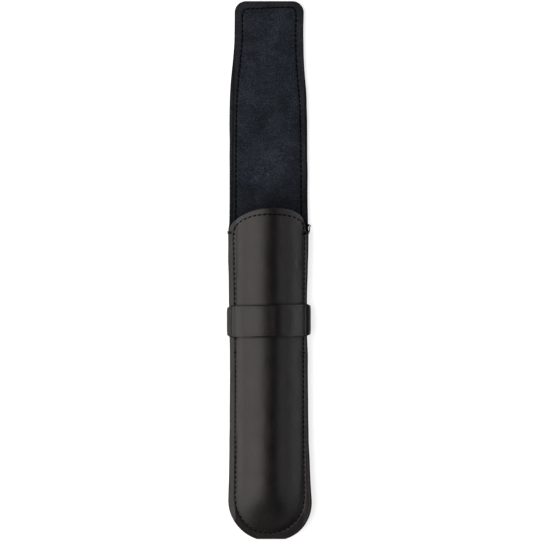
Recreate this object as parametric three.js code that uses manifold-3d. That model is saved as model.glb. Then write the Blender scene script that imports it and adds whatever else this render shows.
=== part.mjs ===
// A slim leather case for one pen-sized instrument, lying open on its back: a moulded pocket, a keeper
// strap over it, and a long suede-lined flap that folds over the mouth.
// Millimetres. +X right, +Y towards the flap's tip, +Z up. The origin is under the middle of the case.
import * as THREE from "three";
import { mergeVertices } from "three/addons/utils/BufferGeometryUtils.js";
import Module from "manifold-3d";

const wasm = await Module();
wasm.setup();

// ---- driving dimensions ------------------------------------------------------------------------------

const HALF_LENGTH = 134.5; // the open case is 269 long
const CENTRING = 0.113; // the right edge bulges less than the strap's left loop
const TIP_RADIUS = 5.8; // corners of the flap's tip
const GLUE_GAP = 0.1; // between layers
const LEATHER = 1.2; // outer leather
const SUEDE = 0.7; // lining

// The cut edge: [y, left x, right x] from the flap's tip to where the round bottom starts.
const EDGES = [
  [134.5, -17.4, 17.35],
  [114, -17.5, 17.1],
  [100, -18.7, 17.65],
  [85, -19.8, 18.75],
  [60, -19.9, 19.1],
  [24, -20.0, 19.35],
  [18, -20.6, 19.75],
  [-20, -20.2, 18.7],
  [-45, -19.9, 19.0],
  [-80, -20.05, 19.3],
  [-100, -20.2, 20.1],
  [-115.3, -20.5, 21.28],
];
const ROUND_END = { y: -115.3, depth: 19.34, power: 2.25 }; // the bottom is a rounded-off superellipse
const EDGE_STEPS = { roundEnd: 10, tip: 6, taperFrom: 78, taperTo: 114, taperStep: 6 }; // how finely it is drawn

// Layers on the flat margin, from the table up.
const BACK_TOP = LEATHER;
const BACK_LINING = [BACK_TOP + GLUE_GAP, BACK_TOP + GLUE_GAP + SUEDE];
const FRONT_BASE = BACK_LINING[1] + GLUE_GAP; // underside of the front panel's lining
const FRONT_LINING = [0, SUEDE]; // heights above the front panel's base surface
const FRONT_LEATHER = [SUEDE + GLUE_GAP, SUEDE + GLUE_GAP + LEATHER];
const MARGIN_TOP = FRONT_BASE + FRONT_LEATHER[1];

// The moulded front: full height over most of its length, closing down in a round end.
const BULGE = { height: 11.2, halfWidth: 16.4, endY: -103, endLength: 28 };
const BULGE_ACROSS = { power: 2.2, foot: 1.04 };
const BULGE_ALONG = { power: 2.4, foot: 1.35 };
const FRONT_ROWS = { columns: 24, round: 9, taper: 5, straight: 4, arch: 7, taperY: -74, archY: 6 };
const STEEPEST = 1.5; // a layer is at most this much thicker upright than square to its face
const MOUTH = { cornerY: 19.5, rise: 11.4, leftPower: 1.7, rightPower: 2.7 };

// Stitching. Each row is a flat thread let into a groove.
const THREAD = { width: 0.55, depth: 0.4, grooveWidth: 0.85, grooveDepth: 0.5, seat: 0.05 };
const GROOVE_RUN = 0.8; // a groove runs on past its thread, and out at the end of a panel
const POCKET_SEAM = { x: 17.3, endY: -112.8, depth: 18.8, power: 2.25 };
const FLAP_SEAM_INSET = 3.4;
const FLAP_SEAM_START = 25.7; // where the flap's stitches come out from under the front panel
const MOUTH_SEAM = { halfWidth: 16.6, bottomY: 19.2, rise: 8.2, power: 2.05, lift: 0.8 };
const KNOT = { x: 17.75, radius: 0.7, flat: 0.6, clear: 1.2 };
const MOUTH_KNOT_Y = 17.8;
const STRAP_KNOT_Y = -41.3;
const TACK = { y: 18.9, width: 0.6, reach: 2.1, thickness: 0.45, clear: 0.15 }; // at each mouth corner

const STRAP = { y: -25.7, width: 16.4, thickness: 1.2, gap: 0.3, side: 0.2, tab: 5.6 };

// The flap bends over the mouth at four lines; between them are three narrow links.
const FOLDS = { y: 32.4, pitch: 6.5, count: 4, gap: 0.3, seamEnd: 0.4 };

// ---- materials ---------------------------------------------------------------------------------------

const smoothLeather = new THREE.MeshStandardMaterial({ color: 0x1b1918, roughness: 0.38 });
const strapLeather = new THREE.MeshStandardMaterial({ color: 0x1d1b1a, roughness: 0.42 });
const suede = new THREE.MeshStandardMaterial({ color: 0x12161b, roughness: 0.95 });
const waxedThread = new THREE.MeshStandardMaterial({ color: 0x060607, roughness: 0.6 });

// ---- outline -----------------------------------------------------------------------------------------

const superellipse = (t, power) => Math.max(0, 1 - Math.abs(t) ** power) ** (1 / power);

// A smooth curve through the rows of EDGES, as x at a height y. side is 1 for left, 2 for right.
function sideX(side, y) {
  const last = EDGES.length - 1;
  let i = EDGES.findIndex((row) => row[0] <= y);
  i = i < 0 ? last : Math.max(i, 1);
  const slope = (k) => {
    const a = EDGES[Math.max(k - 1, 0)], b = EDGES[Math.min(k + 1, last)];
    return (b[side] - a[side]) / (b[0] - a[0]);
  };
  const [y0, y1] = [EDGES[i - 1][0], EDGES[i][0]];
  const run = y1 - y0, t = (y - y0) / run, t2 = t * t, t3 = t2 * t;
  return (
    (2 * t3 - 3 * t2 + 1) * EDGES[i - 1][side] + (t3 - 2 * t2 + t) * run * slope(i - 1) +
    (3 * t2 - 2 * t3) * EDGES[i][side] + (t3 - t2) * run * slope(i)
  );
}

// x of the left (-1) or right (1) cut edge at y, with the round bottom and the tip's round corners.
function edgeX(hand, y) {
  const side = hand < 0 ? 1 : 2;
  if (y < ROUND_END.y) {
    const left = sideX(1, ROUND_END.y), right = sideX(2, ROUND_END.y);
    const reach = superellipse((ROUND_END.y - y) / ROUND_END.depth, ROUND_END.power);
    return (left + right) / 2 + (hand * (right - left) / 2) * reach;
  }
  const intoCorner = Math.max(0, y - (HALF_LENGTH - TIP_RADIUS)) / TIP_RADIUS;
  return sideX(side, y) - hand * TIP_RADIUS * (1 - superellipse(intoCorner, 2));
}

// Heights y at which an edge between low and high is sampled: close together on the round stretches.
function samples(low, high) {
  const found = new Set([low, high]);
  const { roundEnd, tip, taperFrom, taperTo, taperStep } = EDGE_STEPS;
  const quarter = (part) => Math.sin((part * Math.PI) / 2);
  for (let k = 1; k < roundEnd; k++) found.add(ROUND_END.y - ROUND_END.depth * quarter(k / roundEnd));
  for (let k = 0; k < tip; k++) found.add(HALF_LENGTH - TIP_RADIUS * (1 - quarter(k / tip)));
  for (const row of EDGES) found.add(row[0]);
  for (let y = taperFrom; y <= taperTo; y += taperStep) found.add(y);
  return [...found].filter((y) => y >= low && y <= high).sort((a, b) => a - b);
}

// The closed outline of the panel between two heights.
function outline(low, high) {
  const ys = samples(low, high);
  return [
    ...ys.map((y) => new THREE.Vector2(edgeX(1, y), y)),
    ...ys.reverse().map((y) => new THREE.Vector2(edgeX(-1, y), y)),
  ];
}

// ---- solids ------------------------------------------------------------------------------------------

function slab(points, bottom, top) {
  const geometry = new THREE.ExtrudeGeometry(new THREE.Shape(points), {
    depth: top - bottom,
    bevelEnabled: false,
  });
  return geometry.translate(0, 0, bottom);
}

function toSolid(geometry) {
  const bare = geometry.index ? geometry.toNonIndexed() : geometry.clone();
  bare.deleteAttribute("normal");
  bare.deleteAttribute("uv");
  const merged = mergeVertices(bare, 1e-4);
  return new wasm.Manifold(
    new wasm.Mesh({
      numProp: 3,
      vertProperties: merged.attributes.position.array,
      triVerts: new Uint32Array(merged.index.array),
    }),
  );
}

function toGeometry(solid) {
  const mesh = solid.getMesh();
  const geometry = new THREE.BufferGeometry();
  geometry.setAttribute("position", new THREE.BufferAttribute(new Float32Array(mesh.vertProperties), 3));
  geometry.setIndex(new THREE.BufferAttribute(new Uint32Array(mesh.triVerts), 1));
  geometry.computeVertexNormals();
  return geometry;
}

const cut = (geometry, ...tools) =>
  toGeometry(tools.reduce((solid, tool) => solid.subtract(toSolid(tool)), toSolid(geometry)));

// ---- seam lines --------------------------------------------------------------------------------------

// A point of the pocket's straight stitch line on one side.
const pocketSeamPoint = (hand, y) => new THREE.Vector2(hand * POCKET_SEAM.x, y);

// Round the bottom, from the left side to the right.
function pocketSeamEnd(steps = 24) {
  return Array.from({ length: steps + 1 }, (_, k) => {
    const angle = Math.PI * (1 - k / steps);
    const power = 2 / POCKET_SEAM.power;
    const round = (v) => Math.sign(v) * Math.abs(v) ** power;
    return new THREE.Vector2(
      POCKET_SEAM.x * round(Math.cos(angle)),
      POCKET_SEAM.endY - POCKET_SEAM.depth * round(Math.sin(angle)),
    );
  });
}

// The flap's stitch line on one side, between two heights.
function flapSeamSide(hand, from, to, steps = 8) {
  return Array.from({ length: steps + 1 }, (_, k) => {
    const y = THREE.MathUtils.lerp(from, to, k / steps);
    return new THREE.Vector2(sideX(hand < 0 ? 1 : 2, y) - hand * FLAP_SEAM_INSET, y);
  });
}

// A strip of a given width along a line of points.
function strip(line, width) {
  const side = (sign) =>
    line.map((point, i) => {
      const ahead = line[Math.min(i + 1, line.length - 1)].clone();
      const along = ahead.sub(line[Math.max(i - 1, 0)]).normalize();
      return new THREE.Vector2(-along.y, along.x).multiplyScalar((sign * width) / 2).add(point);
    });
  return [...side(1), ...side(-1).reverse()];
}

// A thread in the top face (up = 1) or the bottom face (up = -1) of a layer, and the groove that takes it.
function sunkThread(line, face, up) {
  const far = face - up * (THREAD.grooveDepth - THREAD.seat);
  const near = far + up * THREAD.depth;
  return slab(strip(line, THREAD.width), Math.min(far, near), Math.max(far, near));
}

function groove(line, face, up) {
  const far = face - up * THREAD.grooveDepth, past = face + up;
  return slab(strip(line, THREAD.grooveWidth), Math.min(far, past), Math.max(far, past));
}

// A line of points made a little longer at both ends, so that a groove runs past its thread.
function longer(line, by = GROOVE_RUN) {
  const grow = (end, next) => end.clone().add(end.clone().sub(next).setLength(by));
  return [grow(line[0], line[1]), ...line.slice(1, -1), grow(line.at(-1), line.at(-2))];
}

// ---- the moulded front panel -------------------------------------------------------------------------

// Half width of the bulge at y: constant, then closing along the bottom seam.
function bulgeHalfWidth(y) {
  const inset = POCKET_SEAM.x - BULGE.halfWidth;
  const reach = superellipse(
    Math.max(0, POCKET_SEAM.endY - y) / (POCKET_SEAM.depth - inset), POCKET_SEAM.power);
  return BULGE.halfWidth * reach;
}

function bulgeHeight(x, y) {
  const halfWidth = bulgeHalfWidth(y);
  const across = halfWidth > 0 ? Math.min(1, Math.abs(x) / halfWidth) : 1;
  const along = THREE.MathUtils.clamp((BULGE.endY - y) / BULGE.endLength, 0, 1);
  const shape = (t, { power, foot }) => (1 - t ** power) ** foot;
  return BULGE.height * shape(across, BULGE_ACROSS) * shape(along, BULGE_ALONG);
}

// The point straight above (x, y) that is a given thickness above the front panel's base surface.
function onFront(x, y, thickness) {
  const step = 0.05;
  const slopeX = (bulgeHeight(x + step, y) - bulgeHeight(x - step, y)) / (2 * step);
  const slopeY = (bulgeHeight(x, y + step) - bulgeHeight(x, y - step)) / (2 * step);
  const steepness = Math.min(STEEPEST, Math.hypot(1, slopeX, slopeY));
  return new THREE.Vector3(x, y, FRONT_BASE + bulgeHeight(x, y) + thickness * steepness);
}

// The mouth's arched edge: y at x.
function mouthY(x) {
  const middle = (edgeX(-1, MOUTH.cornerY) + edgeX(1, MOUTH.cornerY)) / 2;
  const half = (edgeX(1, MOUTH.cornerY) - edgeX(-1, MOUTH.cornerY)) / 2;
  const power = x < middle ? MOUTH.leftPower : MOUTH.rightPower;
  return MOUTH.cornerY + MOUTH.rise * superellipse(Math.min(1, Math.abs(x - middle) / half), power);
}

// A closed sheet between two grids of points. place(column, row, side) gives a point; side 0 is below.
function sheetSolid(columns, rows, place) {
  const wide = columns + 1, count = wide * (rows + 1);
  const points = [];
  for (const side of [0, 1]) {
    for (let row = 0; row <= rows; row++) {
      for (let column = 0; column <= columns; column++) points.push(...place(column, row, side).toArray());
    }
  }
  const faces = [];
  const quad = (a, b, c, d) => faces.push(a, b, c, a, c, d);
  for (let row = 0; row < rows; row++) {
    for (let column = 0; column < columns; column++) {
      const a = row * wide + column, b = a + 1, c = b + wide, d = a + wide;
      faces.push(a, c, b, a, d, c);
      quad(a + count, b + count, c + count, d + count);
    }
    const left = row * wide, right = left + columns;
    quad(left, left + count, left + wide + count, left + wide);
    quad(right, right + wide, right + wide + count, right + count);
  }
  for (let column = 0; column < columns; column++) {
    const first = column, last = rows * wide + column;
    quad(first, first + 1, first + 1 + count, first + count);
    quad(last, last + count, last + 1 + count, last + 1);
  }
  const geometry = new THREE.BufferGeometry();
  geometry.setAttribute("position", new THREE.Float32BufferAttribute(points, 3));
  geometry.setIndex(faces);
  geometry.computeVertexNormals();
  return geometry;
}

// Rows of the front panel, bottom to top: round end, straight sides, then bending into the mouth's arch.
function frontRow(row) {
  const { round, taper, straight, arch, taperY, archY } = FRONT_ROWS;
  if (row < round) {
    const first = Math.acos((HALF_LENGTH + ROUND_END.y) / ROUND_END.depth);
    const turn = THREE.MathUtils.lerp(first, Math.PI / 2, row / round);
    return { y: ROUND_END.y - ROUND_END.depth * Math.cos(turn), bend: 0 };
  }
  const past = row - round;
  if (past < taper) return { y: THREE.MathUtils.lerp(ROUND_END.y, taperY, past / taper), bend: 0 };
  const along = Math.min(1, (past - taper) / straight);
  return {
    y: THREE.MathUtils.lerp(taperY, archY, along),
    bend: Math.max(0, past - taper - straight) / arch,
  };
}

// Columns stand closer together towards the edges.
function columnX(column, y) {
  const across = (1 + Math.sin((column / FRONT_ROWS.columns - 0.5) * Math.PI)) / 2;
  return THREE.MathUtils.lerp(edgeX(-1, y), edgeX(1, y), across);
}

// One layer of the front panel, bent over the bulge.
function frontLayer(levels) {
  const { columns, round, taper, straight, arch } = FRONT_ROWS;
  return sheetSolid(columns, round + taper + straight + arch, (column, row, side) => {
    const { y: baseY, bend } = frontRow(row);
    const edgeY = THREE.MathUtils.lerp(baseY, MOUTH.cornerY, bend);
    const x = columnX(column, edgeY);
    return onFront(x, THREE.MathUtils.lerp(baseY, mouthY(x), bend), levels[side]);
  });
}

// ---- small trim --------------------------------------------------------------------------------------

function knot(x, y, z) {
  const ball = new THREE.SphereGeometry(KNOT.radius, 8, 6);
  ball.scale(1, 1, KNOT.flat);
  return ball.translate(x, y, z + THREAD.seat + KNOT.radius * KNOT.flat);
}

// An overcast stitch at a corner of the mouth: along the margin, over the edge and down it.
function cornerTack(hand) {
  const edge = Math.max(Math.abs(edgeX(hand, TACK.y)), Math.abs(edgeX(hand, TACK.y + TACK.width)));
  const inside = edge + TACK.clear, outside = inside + TACK.thickness;
  const low = LEATHER / 3, high = MARGIN_TOP + TACK.clear;
  const section = [
    [edge - TACK.reach, high],
    [inside, high],
    [inside, low],
    [outside, low],
    [outside, high + TACK.thickness],
    [edge - TACK.reach, high + TACK.thickness],
  ].map(([x, z]) => new THREE.Vector2(x, z));
  return standing(section, TACK.y, TACK.width, hand);
}

// A section drawn in X and Z, extruded along Y from a height, mirrored for the left hand.
function standing(section, fromY, width, hand = 1) {
  const points = section.map((p) => new THREE.Vector2(hand * p.x, p.y));
  const geometry = new THREE.ExtrudeGeometry(new THREE.Shape(points), { depth: width, bevelEnabled: false });
  return geometry.rotateX(Math.PI / 2).translate(0, fromY + width, 0);
}

// The stitch line along the mouth, a round thread lying on the moulded leather.
function mouthThread() {
  const lift = FRONT_LEATHER[1] + MOUTH_SEAM.lift + THREAD.width / 2, steps = 28;
  const points = Array.from({ length: steps + 1 }, (_, k) => {
    const angle = THREE.MathUtils.lerp(Math.PI * 0.965, Math.PI * 0.035, k / steps);
    const power = 2 / MOUTH_SEAM.power;
    const x = Math.sign(Math.cos(angle)) * Math.abs(Math.cos(angle)) ** power * MOUTH_SEAM.halfWidth;
    return onFront(x, MOUTH_SEAM.bottomY + MOUTH_SEAM.rise * Math.sin(angle) ** power, lift);
  });
  const section = new THREE.Shape();
  section.absarc(0, 0, THREAD.width / 2, 0, Math.PI * 2);
  return new THREE.ExtrudeGeometry(section, {
    steps: 40,
    curveSegments: 3,
    extrudePath: new THREE.CatmullRomCurve3(points),
  });
}

// The keeper strap: over the moulded front, round both edges, and into the side seams as thin tabs.
function keeperStrap() {
  const [left, right] = [edgeX(-1, STRAP.y), edgeX(1, STRAP.y)];
  const over = (lift) => {
    const columns = Array.from({ length: FRONT_ROWS.columns - 3 }, (_, k) => k + 2);
    return columns.map((column) => {
      const p = onFront(columnX(column, STRAP.y), STRAP.y, FRONT_LEATHER[1] + lift);
      return new THREE.Vector2(p.x, p.z);
    });
  };
  const inner = over(STRAP.gap), outer = over(STRAP.gap + STRAP.thickness);
  const round = (x, z, radius, from, to) =>
    new THREE.Path().absarc(x, z, radius, from, to, from > to).getPoints(4);
  const [low, high] = BACK_LINING, { side, thickness, tab } = STRAP;
  const bend = thickness + side; // the outer bend springs from the panel's own edge
  const top = MARGIN_TOP + STRAP.gap + thickness;
  const section = [
    new THREE.Vector2(left + tab, low),
    ...round(left, low + bend, bend, -Math.PI / 2, -Math.PI),
    ...round(left, top - bend, bend, Math.PI, Math.PI / 2),
    ...outer,
    ...round(right, top - bend, bend, Math.PI / 2, 0),
    ...round(right, low + bend, bend, 0, -Math.PI / 2),
    new THREE.Vector2(right - tab, low),
    new THREE.Vector2(right - tab, high),
    new THREE.Vector2(right + side, high),
    new THREE.Vector2(right + side, MARGIN_TOP + STRAP.gap),
    ...inner.reverse(),
    new THREE.Vector2(left - side, MARGIN_TOP + STRAP.gap),
    new THREE.Vector2(left - side, high),
    new THREE.Vector2(left + tab, high),
  ];
  return standing(section, STRAP.y - STRAP.width / 2, STRAP.width);
}

// ---- assembly ----------------------------------------------------------------------------------------

const leatherCase = new THREE.Group();
leatherCase.position.x = CENTRING;

function piece(parent, name, geometry, material) {
  const mesh = new THREE.Mesh(geometry, material);
  mesh.name = name;
  parent.add(mesh);
}

const hands = [["left", -1], ["right", 1]];

function addPocket() {
  const pocket = new THREE.Group();
  leatherCase.add(pocket);
  const foldStart = FOLDS.y - FOLDS.gap / 2, seamTop = foldStart - FOLDS.seamEnd;
  const panel = outline(-HALF_LENGTH, foldStart);

  // One row of stitches shows on the back, all the way round the pocket.
  const backSeam = [
    ...flapSeamSide(-1, seamTop, MOUTH_KNOT_Y + 4, 2),
    pocketSeamPoint(-1, MOUTH_KNOT_Y),
    ...pocketSeamEnd(),
    pocketSeamPoint(1, MOUTH_KNOT_Y),
    ...flapSeamSide(1, MOUTH_KNOT_Y + 4, seamTop, 2),
  ];
  const back = cut(slab(panel, 0, BACK_TOP), groove(longer(backSeam), 0, -1));
  piece(pocket, "back_panel_leather", back, smoothLeather);
  piece(pocket, "back_seam_thread", sunkThread(backSeam, 0, -1), waxedThread);

  const foldSeams = hands.map(([, hand]) => flapSeamSide(hand, FLAP_SEAM_START, seamTop, 2));
  const notches = hands.map(([, hand]) => {
    const inside = edgeX(hand, STRAP.y) - hand * (STRAP.tab + 0.4), outside = hand * HALF_LENGTH;
    const [a, b] = [STRAP.y - STRAP.width / 2 - 0.3, STRAP.y + STRAP.width / 2 + 0.3];
    return slab(
      [[inside, a], [outside, a], [outside, b], [inside, b]].map(([x, y]) => new THREE.Vector2(x, y)),
      BACK_LINING[0] - 1, BACK_LINING[1] + 1);
  });
  const lining = cut(
    slab(panel, ...BACK_LINING), ...notches,
    ...foldSeams.map((line) => groove(longer(line), BACK_LINING[1], 1)));
  piece(pocket, "back_panel_lining", lining, suede);

  const sideSeams = hands.map(([, hand]) => [
    pocketSeamPoint(hand, MOUTH_KNOT_Y - KNOT.clear),
    pocketSeamPoint(hand, STRAP_KNOT_Y + KNOT.clear),
  ]);
  const bottomSeam = [
    pocketSeamPoint(-1, STRAP_KNOT_Y - KNOT.clear),
    ...pocketSeamEnd(),
    pocketSeamPoint(1, STRAP_KNOT_Y - KNOT.clear),
  ];
  const front = cut(
    frontLayer(FRONT_LEATHER),
    ...[...sideSeams, bottomSeam].map((line) => groove(longer(line), MARGIN_TOP, 1)));
  piece(pocket, "front_panel_leather", front, smoothLeather);
  piece(pocket, "front_panel_lining", frontLayer(FRONT_LINING), suede);
  piece(pocket, "keeper_strap", keeperStrap(), strapLeather);
  piece(pocket, "bottom_seam_thread", sunkThread(bottomSeam, MARGIN_TOP, 1), waxedThread);
  piece(pocket, "mouth_seam_thread", mouthThread(), waxedThread);
  hands.forEach(([word, hand], i) => {
    piece(pocket, `side_seam_thread_${word}`, sunkThread(sideSeams[i], MARGIN_TOP, 1), waxedThread);
    piece(pocket, `fold_seam_thread_${word}`, sunkThread(foldSeams[i], BACK_LINING[1], 1), waxedThread);
    piece(pocket, `mouth_knot_${word}`, knot(hand * KNOT.x, MOUTH_KNOT_Y, MARGIN_TOP), waxedThread);
    piece(pocket, `strap_knot_${word}`, knot(hand * KNOT.x, STRAP_KNOT_Y, MARGIN_TOP), waxedThread);
    piece(pocket, `corner_tack_${word}`, cornerTack(hand), waxedThread);
  });
}

// One length of the flap: leather below, suede above, and its stitch lines on both faces.
function addFlapPiece(prefix, low, high, seams) {
  const body = new THREE.Group();
  leatherCase.add(body);
  const panel = outline(low, high);
  const lines = seams.map(([, line]) => longer(line));
  const leather = cut(slab(panel, 0, BACK_TOP), ...lines.map((line) => groove(line, 0, -1)));
  const lining = cut(slab(panel, ...BACK_LINING), ...lines.map((line) => groove(line, BACK_LINING[1], 1)));
  piece(body, `${prefix}_leather`, leather, smoothLeather);
  piece(body, `${prefix}_lining`, lining, suede);
  for (const [suffix, line] of seams) {
    piece(body, `${prefix}_thread${suffix}`, sunkThread(line, BACK_LINING[1], 1), waxedThread);
    piece(body, `${prefix}_back_thread${suffix}`, sunkThread(line, 0, -1), waxedThread);
  }
}

function addFlap() {
  const half = FOLDS.gap / 2, { seamEnd } = FOLDS;
  for (let k = 0; k < FOLDS.count - 1; k++) {
    const low = FOLDS.y + k * FOLDS.pitch + half, high = low + FOLDS.pitch - FOLDS.gap;
    const seams = hands.map(([word, hand]) => [
      `_${word}`, flapSeamSide(hand, low + seamEnd, high - seamEnd, 1),
    ]);
    addFlapPiece(`flap_link_${k + 1}`, low, high, seams);
  }
  const start = FOLDS.y + (FOLDS.count - 1) * FOLDS.pitch + half;
  const cornerY = HALF_LENGTH - TIP_RADIUS, inner = TIP_RADIUS - FLAP_SEAM_INSET + 0.8;
  const topY = HALF_LENGTH - FLAP_SEAM_INSET;
  const corner = (hand) => {
    const x = sideX(hand < 0 ? 1 : 2, cornerY) - hand * (FLAP_SEAM_INSET + inner);
    return [0, 1, 2, 3].map((k) => {
      const angle = (k / 3) * (Math.PI / 2);
      return new THREE.Vector2(x + hand * inner * Math.cos(angle), topY - inner + inner * Math.sin(angle));
    });
  };
  const seam = [
    ...flapSeamSide(-1, start + seamEnd, topY - inner - 1, 9),
    ...corner(-1),
    ...corner(1).reverse(),
    ...flapSeamSide(1, topY - inner - 1, start + seamEnd, 9),
  ];
  addFlapPiece("tongue", start, HALF_LENGTH, [["", seam]]);
}

addPocket();
addFlap();

export default leatherCase;
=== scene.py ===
"""A slim black leather pen case, lying open on its back.

Lengths are in millimetres, except the stage's, which are in metres.
"""

import math

import bpy
import numpy as np
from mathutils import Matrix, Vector


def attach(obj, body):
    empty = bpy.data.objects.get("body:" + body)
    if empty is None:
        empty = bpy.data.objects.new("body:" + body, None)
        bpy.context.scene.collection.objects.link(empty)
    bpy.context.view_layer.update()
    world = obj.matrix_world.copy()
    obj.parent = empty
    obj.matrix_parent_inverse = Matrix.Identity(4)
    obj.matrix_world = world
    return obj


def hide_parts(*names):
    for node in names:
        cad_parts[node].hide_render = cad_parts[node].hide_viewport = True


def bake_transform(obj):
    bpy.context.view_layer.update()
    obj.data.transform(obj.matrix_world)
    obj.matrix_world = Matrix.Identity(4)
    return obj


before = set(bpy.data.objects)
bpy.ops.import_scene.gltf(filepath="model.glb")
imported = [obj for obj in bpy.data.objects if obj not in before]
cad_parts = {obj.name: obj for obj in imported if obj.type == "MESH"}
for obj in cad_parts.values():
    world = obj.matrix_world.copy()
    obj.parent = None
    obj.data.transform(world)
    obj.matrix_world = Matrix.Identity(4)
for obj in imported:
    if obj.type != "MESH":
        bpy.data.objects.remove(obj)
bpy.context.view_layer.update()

MM = 0.001
CENTRING = np.array([0.113, 0.0, 0.0])  # the CAD model's own shift
random = np.random.default_rng(11)

# ---- the case's lines: the CAD model's, with the slack and cut of real leather -----------------------

HALF_LENGTH, TIP_RADIUS = 134.5, 5.8
EDGES = np.array([  # y, left x, right x
    (-115.3, -20.5, 21.28), (-100, -20.1, 20.4), (-80, -19.9, 19.65), (-45, -19.7, 19.3), (-20, -20.1, 18.85),
    (18, -20.6, 19.75), (24, -20.0, 19.35), (60, -19.9, 19.1), (85, -19.8, 18.75), (100, -18.7, 17.65),
    (114, -17.5, 17.1), (134.5, -17.4, 17.35)])
ROUND_Y, ROUND_DEPTH, ROUND_POWERS = -115.3, 20.2, (2.0, 2.2)  # cut off flat at the case's end
BACK_TOP, LINING_LOW, LINING_TOP, FRONT_BASE = 1.2, 1.3, 2.0, 2.1
MARGIN_TOP = FRONT_BASE + 2.0
BULGE_HEIGHT, BULGE_HALF = 11.2, 16.4
BULGE_LEFT, BULGE_RIGHT, BULGE_SLACK = (2.2, 1.04), (2.0, 1.4), 1.035  # power and foot; slacker on the right
BULGE_END_Y, BULGE_END_LENGTH, BULGE_END_POWER, BULGE_END_FOOT = -103, 28, 2.4, 1.35
SEAM_X, SEAM_END_Y, SEAM_DEPTH, SEAM_POWER = 17.3, -112.8, 18.6, 2.12
SEAM_Y = np.array([-112.8, -80, -40, 18.5])
SEAM_LEFT_X = np.array([-17.1, -16.75, -16.8, -17.7])
SEAM_RIGHT_X = np.array([17.6, 17.3, 17.25, 17.7])
MOUTH_CORNER_Y, MOUTH_RISE, MOUTH_SHOULDER = 19.5, 11.4, 1.5
MOUTH_SEAM_X, MOUTH_SEAM_Y, MOUTH_SEAM_RISE = 17.6, 18.8, 8.9
FLAP_SEAM_Y = np.array([20, 60, 88, 110, 132.0])
FLAP_SEAM_INSET = np.array([3.3, 3.3, 3.7, 3.9, 3.8])
FOLD_Y, FOLD_PITCH, FOLD_COUNT = 32.4, 6.5, 4
STRAP_Y, STRAP_HALF, STRAP_THICK, STRAP_LEAN = -25.35, 7.95, 1.25, 0.022
STRAP_SLIP = 2.4  # it stands off the front a little on the right, so its crest lies this far over
STRAP_TURN_X = 18.4  # where it turns down at each side: a raised ridge on the right, a crease on the left
STITCH_PITCH = 2.5
SIDE_ROW_END, BOTTOM_ROW_START = -40.6, -42.0  # the side rows end and the bottom row starts below the strap
MOUTH_KNOT_Y, STRAP_KNOT_Y, TACK_Y = 18.0, -41.3, 18.8
CUT_WANDER = 0.09  # the edges were cut by hand


def hermite(x, xs, ys):
    """A smooth curve through the points (xs, ys), at x."""
    slopes = np.gradient(ys, xs)
    slopes[1:-1] = (ys[2:] - ys[:-2]) / (xs[2:] - xs[:-2])
    i = np.clip(np.searchsorted(xs, x), 1, len(xs) - 1)
    run = xs[i] - xs[i - 1]
    t = np.clip((x - xs[i - 1]) / run, 0, 1)
    return ((2 * t**3 - 3 * t**2 + 1) * ys[i - 1] + (t**3 - 2 * t**2 + t) * run * slopes[i - 1]
            + (3 * t**2 - 2 * t**3) * ys[i] + (t**3 - t**2) * run * slopes[i])


def superellipse(t, power):
    return np.maximum(0, 1 - np.abs(t) ** power) ** (1 / power)


def ripple(x, y, size, seed):
    """Smooth seeded unevenness, about -1 to 1, with bumps about size across."""
    draw = np.random.default_rng(seed)
    waves = 9
    total = 0
    for _ in range(waves):
        angle, phase = draw.uniform(0, 2 * math.pi, 2)
        k = 2 * math.pi / (size * draw.uniform(1.3, 3.2))
        total = total + np.sin(k * (x * math.cos(angle) + y * math.sin(angle)) + phase)
    return total / waves * 1.6


def side_x(hand, y):
    return hermite(y, EDGES[:, 0], EDGES[:, 1 if hand < 0 else 2])


def edge_x(hand, y):
    y = np.asarray(y, float)
    plain = side_x(hand, y)
    left, right = side_x(-1, ROUND_Y), side_x(1, ROUND_Y)
    power = ROUND_POWERS[0 if hand < 0 else 1]
    reach = superellipse(np.clip((ROUND_Y - y) / ROUND_DEPTH, 0, 1), power)
    round_end = (left + right) / 2 + hand * (right - left) / 2 * reach
    corner = np.clip(y - (HALF_LENGTH - TIP_RADIUS), 0, TIP_RADIUS) / TIP_RADIUS
    plain = plain - hand * TIP_RADIUS * (1 - superellipse(corner, 2))
    cut = CUT_WANDER * ripple(0 * y + 40 * hand, y, 9, 5)
    return np.where(y < ROUND_Y, round_end, plain) + cut


def bulge(x, y):
    inset = SEAM_X - BULGE_HALF
    half = BULGE_HALF * superellipse(np.clip(SEAM_END_Y - y, 0, None) / (SEAM_DEPTH - inset), SEAM_POWER)
    across = np.clip(np.abs(x) / np.maximum(half * np.where(x < 0, 1, BULGE_SLACK), 1e-6), 0, 1)
    along = np.clip((BULGE_END_Y - y) / BULGE_END_LENGTH, 0, 1)
    end = (1 - along**BULGE_END_POWER) ** BULGE_END_FOOT
    left, right = [(1 - across**power) ** foot for power, foot in (BULGE_LEFT, BULGE_RIGHT)]
    return BULGE_HEIGHT * np.where(x < 0, left, right) * end


def mouth_y(x):
    left, right = edge_x(-1, MOUTH_CORNER_Y), edge_x(1, MOUTH_CORNER_Y)
    middle, half = (left + right) / 2, (right - left) / 2
    t = np.clip(np.abs(x - middle) / np.where(x < middle, half, half - MOUTH_SHOULDER), 0, 1)
    power = np.where(x < middle, 1.7, 2.8)
    return MOUTH_CORNER_Y + MOUTH_RISE * superellipse(t, power)


# ---- seams -------------------------------------------------------------------------------------------

def seam_x(hand, y):
    """The pocket's stitch line beside the bulge."""
    return hermite(y, SEAM_Y, SEAM_LEFT_X if hand < 0 else SEAM_RIGHT_X)


def straight_seam(hand, top, bottom, count=40):
    y = np.linspace(top, bottom, count)
    return np.stack([seam_x(hand, y), y], 1)


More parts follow.
